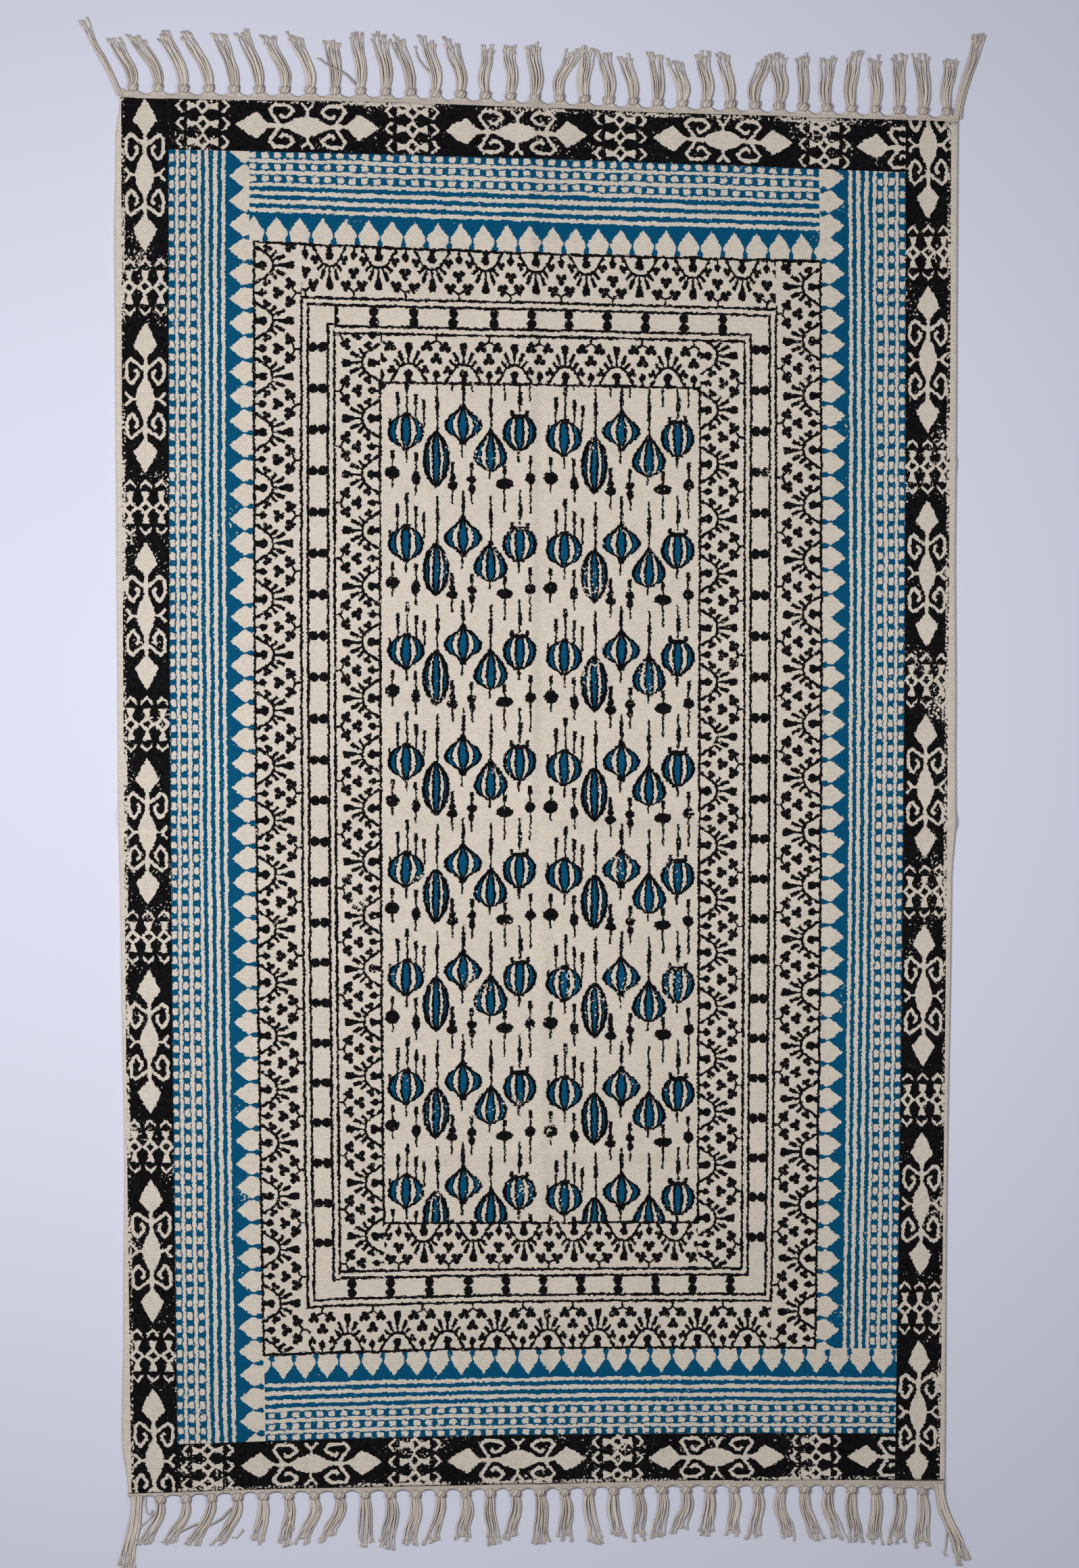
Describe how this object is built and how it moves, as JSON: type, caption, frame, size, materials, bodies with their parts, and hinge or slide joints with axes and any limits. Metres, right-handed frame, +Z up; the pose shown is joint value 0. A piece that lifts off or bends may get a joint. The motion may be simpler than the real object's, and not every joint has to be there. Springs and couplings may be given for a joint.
{
  "type": "dhurrie rug",
  "caption": "Flat woven cotton dhurrie rug, lying flat with soft fold creases, with a knotted tassel fringe on a narrow heading at each end.",
  "frame": {"origin": "on the floor, under the middle of the area that the rug and its fringes cover", "axes": "+Z up from the floor, +Y along the rug's length towards the end shown at the top of the picture, +X across it to the right"},
  "size_m": [0.9948, 1.7028, 0.0075],
  "materials": {
    "printed_cotton": "matt ribbed flat weave, cream with blue and black block print",
    "cream_yarn": "undyed plied cotton yarn"
  },
  "bodies": {
    "root": {"rug_body": "printed_cotton", "fringe_top": "cream_yarn", "fringe_bottom": "cream_yarn"}
  },
  "joints": []
}
